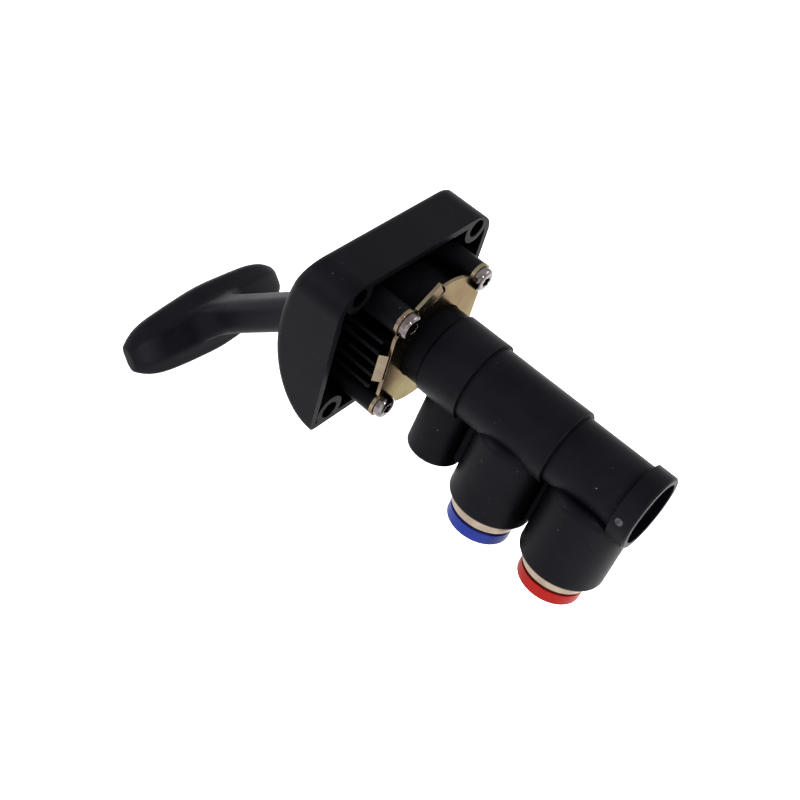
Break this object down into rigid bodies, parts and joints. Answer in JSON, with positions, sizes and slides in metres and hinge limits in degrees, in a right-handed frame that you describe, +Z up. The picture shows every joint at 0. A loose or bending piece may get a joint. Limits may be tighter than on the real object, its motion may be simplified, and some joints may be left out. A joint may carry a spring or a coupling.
{
  "type": "hand lever air valve",
  "caption": "Hand lever air valve: tee lever in a domed moulded cover, screw-clamped stepped valve body with angled push-in ports and an open exhaust end",
  "frame": {"origin": "centre of the cover's rear rim, on the valve axis", "axes": "+Y from the cover along the valve body to the open end, -Y to the lever, +Z up with the ports pointing down, +X along the cover's long side"},
  "size_m": [0.07, 0.1795, 0.0983],
  "materials": {
    "black_plastic": "fine-grained moulded black, slightly bluish sheen",
    "black_body": "smooth moulded black body",
    "lever_black": "fine-textured moulded black grip",
    "zinc_plate": "yellow zinc passivated sheet",
    "screw_steel": "bright steel",
    "steel": "ground steel",
    "spring_steel": "spring wire",
    "brass": "machined brass",
    "blue_plastic": "moulded blue",
    "red_plastic": "moulded red",
    "rubber": "black seal rubber",
    "piston_alloy": "turned aluminium",
    "acetal": "natural acetal"
  },
  "bodies": {
    "valve": {"housing_cover": "black_plastic", "mechanism_frame": "black_body", "pivot_shaft": "steel", "clamp_plate": "zinc_plate", "clamp_screws": "screw_steel", "valve_body": "black_body", "inlet_seat": "brass", "end_plug": "black_body", "end_plug_seal": "rubber", "retaining_pins": "screw_steel", "delivery_cartridge": "brass", "supply_cartridge": "brass", "delivery_grab_ring": "steel", "supply_grab_ring": "steel", "delivery_tube_seal": "rubber", "supply_tube_seal": "rubber", "piston_return_spring": "spring_steel", "poppet_spring": "spring_steel"},
    "lever": {"lever": "lever_black", "lever_cam": "acetal"},
    "tappet": {"tappet": "acetal", "graduating_spring": "spring_steel"},
    "piston": {"graduating_piston": "piston_alloy", "piston_seals": "rubber"},
    "poppet": {"inlet_poppet": "piston_alloy", "poppet_disc": "rubber"},
    "delivery_collet": {"delivery_collet": "blue_plastic"},
    "supply_collet": {"supply_collet": "red_plastic"}
  },
  "joints": [
    {"name": "lever_swing", "type": "hinge", "parent": "valve", "child": "lever", "pos_m": [0, -0.006, 0], "axis": [-1, 0, 0], "range_deg": [0, 75]},
    {"name": "tappet_slide", "type": "slide", "parent": "valve", "child": "tappet", "axis": [0, 1, 0], "range_m": [0, 0.0045], "deforming": ["graduating_spring"]},
    {"name": "piston_slide", "type": "slide", "parent": "valve", "child": "piston", "axis": [0, 1, 0], "range_m": [0, 0.0016], "deforming": ["piston_return_spring"]},
    {"name": "poppet_slide", "type": "slide", "parent": "valve", "child": "poppet", "axis": [0, 1, 0], "range_m": [0, 0.0016], "deforming": ["poppet_spring"]},
    {"name": "delivery_collet_release", "type": "slide", "parent": "valve", "child": "delivery_collet", "axis": [-0.1908, 0, 0.9816], "range_m": [0, 0.0012]},
    {"name": "supply_collet_release", "type": "slide", "parent": "valve", "child": "supply_collet", "axis": [-0.1908, 0, 0.9816], "range_m": [0, 0.0012]}
  ],
  "couplings": [
    {"joint": "tappet_slide", "follows": "lever_swing", "m_per_rad": 0.0034377},
    {"joint": "piston_slide", "follows": "lever_swing", "m_per_rad": 0.0012223},
    {"joint": "poppet_slide", "follows": "lever_swing", "m_per_rad": 0.0012223}
  ]
}
